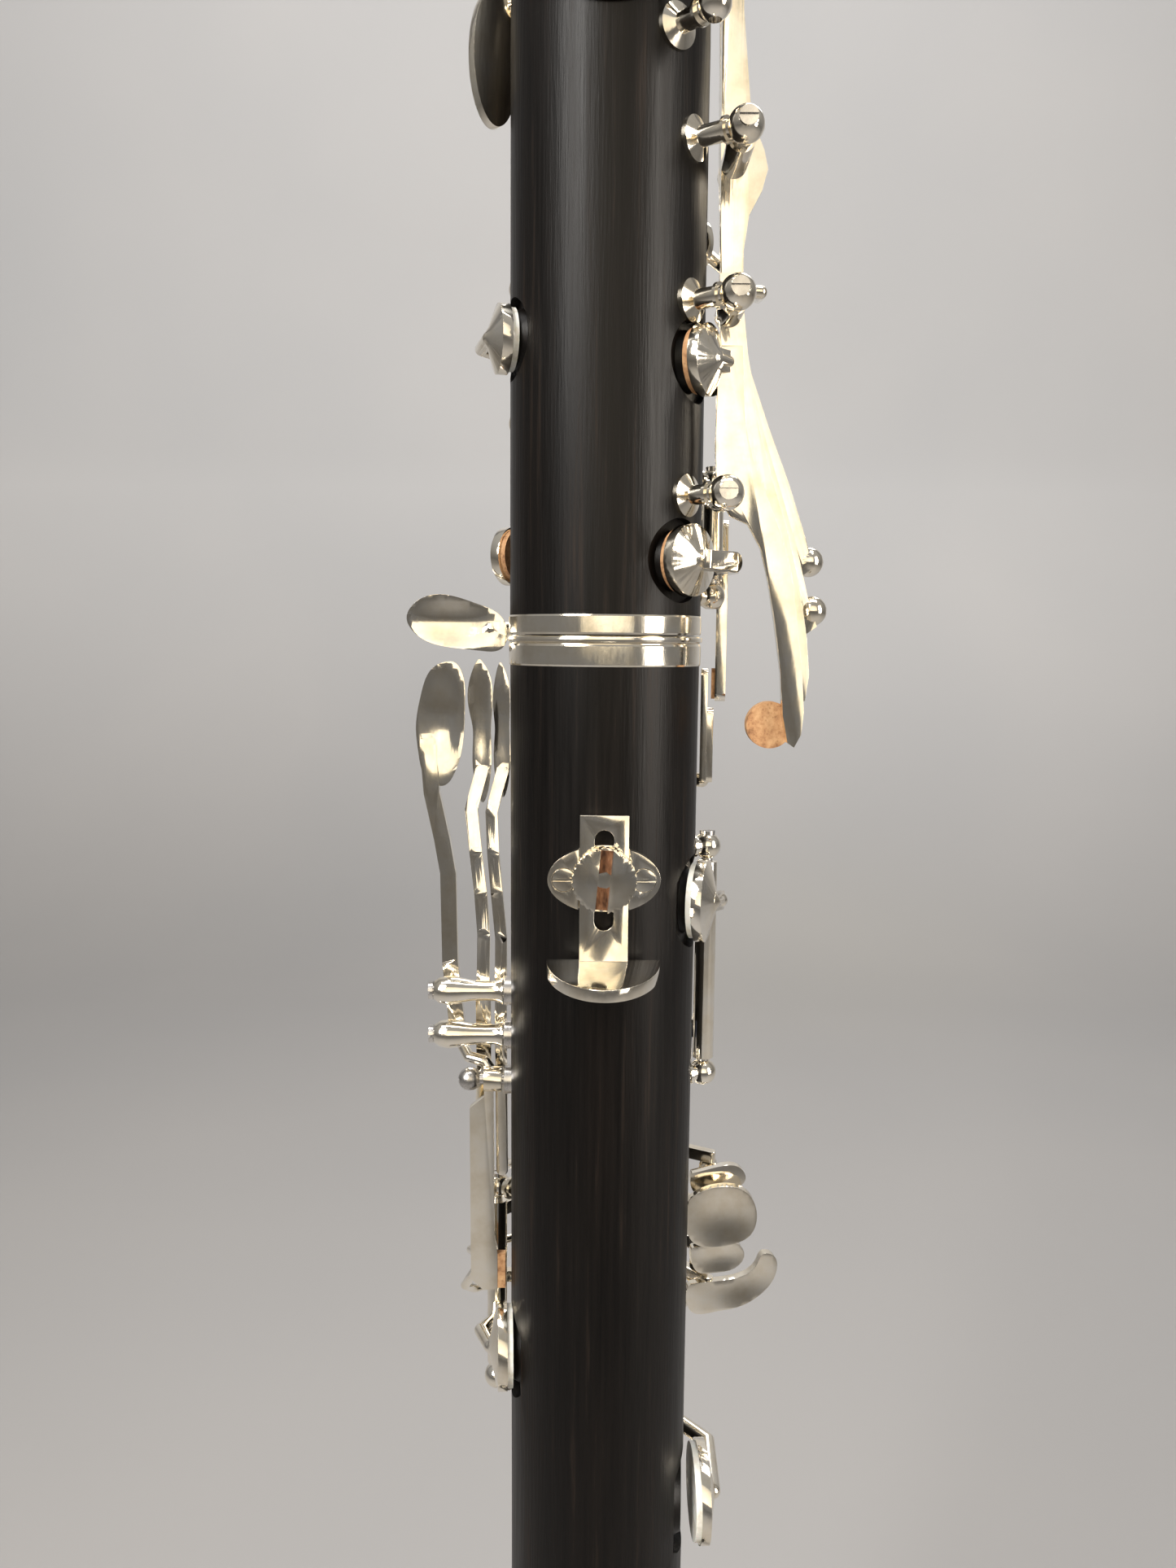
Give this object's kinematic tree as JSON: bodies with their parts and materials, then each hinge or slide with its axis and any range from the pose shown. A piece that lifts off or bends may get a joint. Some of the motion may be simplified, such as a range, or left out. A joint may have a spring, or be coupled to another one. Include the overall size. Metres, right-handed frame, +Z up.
{
  "type": "soprano clarinet",
  "caption": "Wooden soprano clarinet of the Boehm system in five sections, with silver-plated ring keys, levers, side keys and an adjustable thumb rest.",
  "frame": {"origin": "on the bore's axis in the plane of the bell's rim", "axes": "+Z up the bore towards the mouthpiece, +Y to the finger-hole side, -Y to the thumb side, +X to the player's right hand side"},
  "size_m": [0.078, 0.078, 0.67],
  "materials": {
    "grenadilla": "oiled near-black wood with fine streaks along the axis, satin",
    "silver_keys": "polished silver plate with a warm reflection",
    "silver_rings": "polished silver plate, fine turned lines",
    "steel": "bright steel rods and screws",
    "blued_steel": "blued spring wire",
    "cork": "natural cork, matt",
    "pad_skin": "white skin pad, satin",
    "hard_rubber": "polished ebonite",
    "cane": "planed cane, matt"
  },
  "bodies": {
    "body": {"upper_joint": "grenadilla", "lower_joint": "grenadilla", "bell": "grenadilla", "joint_rings": "silver_rings", "bell_rings": "silver_rings", "tenon_corks": "cork", "register_tube": "silver_keys", "key_posts": "silver_keys", "hinge_rods_upper": "steel", "hinge_rods_lower": "steel", "needle_springs": "blued_steel", "thumb_rest_plate": "silver_keys"},
    "barrel": {"barrel": "grenadilla", "barrel_rings": "silver_rings", "mouthpiece": "hard_rubber", "mouthpiece_cork": "cork", "reed": "cane", "ligature": "silver_keys"},
    "ligature_screw_upper": {"ligature_screw_upper": "silver_keys"},
    "ligature_screw_lower": {"ligature_screw_lower": "silver_keys"},
    "register_key": {"register_key": "silver_keys", "register_key_pad": "pad_skin"},
    "throat_a_key": {"throat_a_key": "silver_keys", "throat_a_key_pad": "pad_skin"},
    "throat_g_key": {"throat_g_key": "silver_keys", "throat_g_key_pad": "pad_skin"},
    "thumb_ring_key": {"thumb_ring_key": "silver_keys", "thumb_ring_key_pad": "pad_skin"},
    "left_ring_key": {"left_ring_key": "silver_keys", "left_ring_key_corks": "cork"},
    "side_key_1": {"side_key_1": "silver_keys", "side_key_1_corks": "cork"},
    "side_key_2": {"side_key_2": "silver_keys", "side_key_2_pad": "pad_skin"},
    "side_key_3": {"side_key_3": "silver_keys", "side_key_3_pad": "pad_skin"},
    "side_key_4": {"side_key_4": "silver_keys", "side_key_4_pad": "pad_skin"},
    "left_sliver_key": {"left_sliver_key": "silver_keys", "left_sliver_key_pad": "pad_skin"},
    "c_sharp_key": {"c_sharp_key": "silver_keys", "c_sharp_key_pad": "cork"},
    "right_ring_key": {"right_ring_key": "silver_keys", "right_ring_key_pad": "pad_skin"},
    "right_sliver_key": {"right_sliver_key": "silver_keys", "right_sliver_key_pad": "pad_skin"},
    "a_flat_key": {"a_flat_key": "silver_keys", "a_flat_key_pad": "pad_skin"},
    "f_key": {"f_key": "silver_keys", "f_key_pad": "pad_skin"},
    "e_key": {"e_key": "silver_keys", "e_key_pad": "pad_skin"},
    "f_sharp_key": {"f_sharp_key": "silver_keys", "f_sharp_key_pad": "pad_skin"},
    "left_f_lever": {"left_f_lever": "silver_keys"},
    "left_f_sharp_lever": {"left_f_sharp_lever": "silver_keys"},
    "left_e_lever": {"left_e_lever": "silver_keys", "left_e_lever_cork": "cork"},
    "thumb_rest_hook": {"thumb_rest_hook": "silver_keys"},
    "thumb_rest_screw": {"thumb_rest_screw": "silver_keys"}
  },
  "joints": [
    {"name": "register_key_rock", "type": "hinge", "parent": "body", "child": "register_key", "pos_m": [0, -0.019, 0.465], "axis": [1, 0, 0], "range_deg": [0, 6], "stiffness_Nm_per_rad": 0.03, "springref_deg": -28.65},
    {"name": "throat_a_key_rock", "type": "hinge", "parent": "body", "child": "throat_a_key", "pos_m": [0, 0.0183, 0.463], "axis": [1, 0, 0], "range_deg": [-6, 0], "stiffness_Nm_per_rad": 0.03, "springref_deg": 28.65},
    {"name": "throat_g_key_turn", "type": "hinge", "parent": "body", "child": "throat_g_key", "pos_m": [-0.01645, 0.0095, 0.459], "axis": [0, 0, 1], "range_deg": [0, 10], "stiffness_Nm_per_rad": 0.03, "springref_deg": -28.65},
    {"name": "thumb_ring_key_turn", "type": "hinge", "parent": "body", "child": "thumb_ring_key", "pos_m": [0.0133, -0.0171, 0.44], "axis": [0, 0, 1], "range_deg": [-6, 0], "stiffness_Nm_per_rad": 0.03, "springref_deg": 28.65},
    {"name": "left_ring_key_turn", "type": "hinge", "parent": "body", "child": "left_ring_key", "pos_m": [0.0129, 0.0152, 0.383], "axis": [0, 0, 1], "range_deg": [0, 5]},
    {"name": "side_key_1_rock", "type": "hinge", "parent": "body", "child": "side_key_1", "pos_m": [0.0166, -0.006, 0.3635], "axis": [0, 1, 0], "range_deg": [0, 7], "stiffness_Nm_per_rad": 0.03, "springref_deg": -28.65},
    {"name": "side_key_2_rock", "type": "hinge", "parent": "body", "child": "side_key_2", "pos_m": [0.0176, -0.001, 0.3903], "axis": [0, 1, 0], "range_deg": [0, 5], "stiffness_Nm_per_rad": 0.03, "springref_deg": -28.65},
    {"name": "side_key_3_rock", "type": "hinge", "parent": "body", "child": "side_key_3", "pos_m": [0.0182, 0.0015, 0.4119], "axis": [0, 1, 0], "range_deg": [0, 3.4], "stiffness_Nm_per_rad": 0.03, "springref_deg": -28.65},
    {"name": "side_key_4_rock", "type": "hinge", "parent": "body", "child": "side_key_4", "pos_m": [0.0182, 0.004, 0.4119], "axis": [0, 1, 0], "range_deg": [0, 2.8], "stiffness_Nm_per_rad": 0.03, "springref_deg": -28.65},
    {"name": "left_sliver_key_turn", "type": "hinge", "parent": "body", "child": "left_sliver_key", "pos_m": [-0.0132, 0.0112, 0.387], "axis": [0, 0, 1], "range_deg": [-7, 0], "stiffness_Nm_per_rad": 0.03, "springref_deg": 28.65},
    {"name": "c_sharp_key_turn", "type": "hinge", "parent": "body", "child": "c_sharp_key", "pos_m": [0.017, 0.009, 0.358], "axis": [0, 0, 1], "range_deg": [0, 6], "stiffness_Nm_per_rad": 0.03, "springref_deg": -28.65},
    {"name": "right_ring_key_turn", "type": "hinge", "parent": "body", "child": "right_ring_key", "pos_m": [0.0129, 0.0152, 0.293], "axis": [0, 0, 1], "range_deg": [0, 5], "stiffness_Nm_per_rad": 0.03, "springref_deg": -28.65},
    {"name": "right_sliver_key_turn", "type": "hinge", "parent": "body", "child": "right_sliver_key", "pos_m": [0.017, 0.0075, 0.291], "axis": [0, 0, 1], "range_deg": [0, 5], "stiffness_Nm_per_rad": 0.03, "springref_deg": -28.65},
    {"name": "a_flat_key_turn", "type": "hinge", "parent": "body", "child": "a_flat_key", "pos_m": [-0.0173, 0.0092, 0.233], "axis": [0, 0, 1], "range_deg": [-6, 0], "stiffness_Nm_per_rad": 0.03, "springref_deg": 28.65},
    {"name": "f_key_turn", "type": "hinge", "parent": "body", "child": "f_key", "pos_m": [-0.0051, 0.0189, 0.208], "axis": [0, 0, 1], "range_deg": [-9, 0], "stiffness_Nm_per_rad": 0.03, "springref_deg": 28.65},
    {"name": "e_key_turn", "type": "hinge", "parent": "body", "child": "e_key", "pos_m": [-0.0121, 0.0154, 0.193], "axis": [0, 0, 1], "range_deg": [-8, 0], "stiffness_Nm_per_rad": 0.03, "springref_deg": 28.65},
    {"name": "f_sharp_key_turn", "type": "hinge", "parent": "body", "child": "f_sharp_key", "pos_m": [0.0129, 0.0152, 0.213], "axis": [0, 0, 1], "range_deg": [-6, 0], "stiffness_Nm_per_rad": 0.03, "springref_deg": 28.65},
    {"name": "left_f_lever_rock", "type": "hinge", "parent": "body", "child": "left_f_lever", "pos_m": [-0.02, 0, 0.2877], "axis": [1, 0, 0], "range_deg": [0, 1.7]},
    {"name": "left_f_sharp_lever_rock", "type": "hinge", "parent": "body", "child": "left_f_sharp_lever", "pos_m": [-0.02, 0, 0.2806], "axis": [1, 0, 0], "range_deg": [0, 3.8]},
    {"name": "left_e_lever_rock", "type": "hinge", "parent": "body", "child": "left_e_lever", "pos_m": [-0.018, 0, 0.2732], "axis": [1, 0, 0], "range_deg": [0, 1.5]},
    {"name": "barrel_pull", "type": "slide", "parent": "body", "child": "barrel", "axis": [0, 0, 1], "range_m": [0, 0.003]},
    {"name": "thumb_rest_slide", "type": "slide", "parent": "body", "child": "thumb_rest_hook", "axis": [0, 0, 1], "range_m": [-0.004, 0.004]},
    {"name": "thumb_rest_screw_turn", "type": "hinge", "parent": "body", "child": "thumb_rest_screw", "pos_m": [0, -0.016, 0.3092], "axis": [0, 1, 0], "continuous": true},
    {"name": "ligature_screw_upper_turn", "type": "hinge", "parent": "barrel", "child": "ligature_screw_upper", "pos_m": [0, -0.0156, 0.624], "axis": [1, 0, 0], "continuous": true},
    {"name": "ligature_screw_lower_turn", "type": "hinge", "parent": "barrel", "child": "ligature_screw_lower", "pos_m": [0, -0.0156, 0.612], "axis": [1, 0, 0], "continuous": true}
  ],
  "couplings": [
    {"joint": "left_ring_key_turn", "follows": "right_ring_key_turn", "ratio": 1},
    {"joint": "left_f_lever_rock", "follows": "f_key_turn", "ratio": -0.178},
    {"joint": "left_e_lever_rock", "follows": "e_key_turn", "ratio": -0.176},
    {"joint": "left_f_sharp_lever_rock", "follows": "f_sharp_key_turn", "ratio": -0.62}
  ]
}
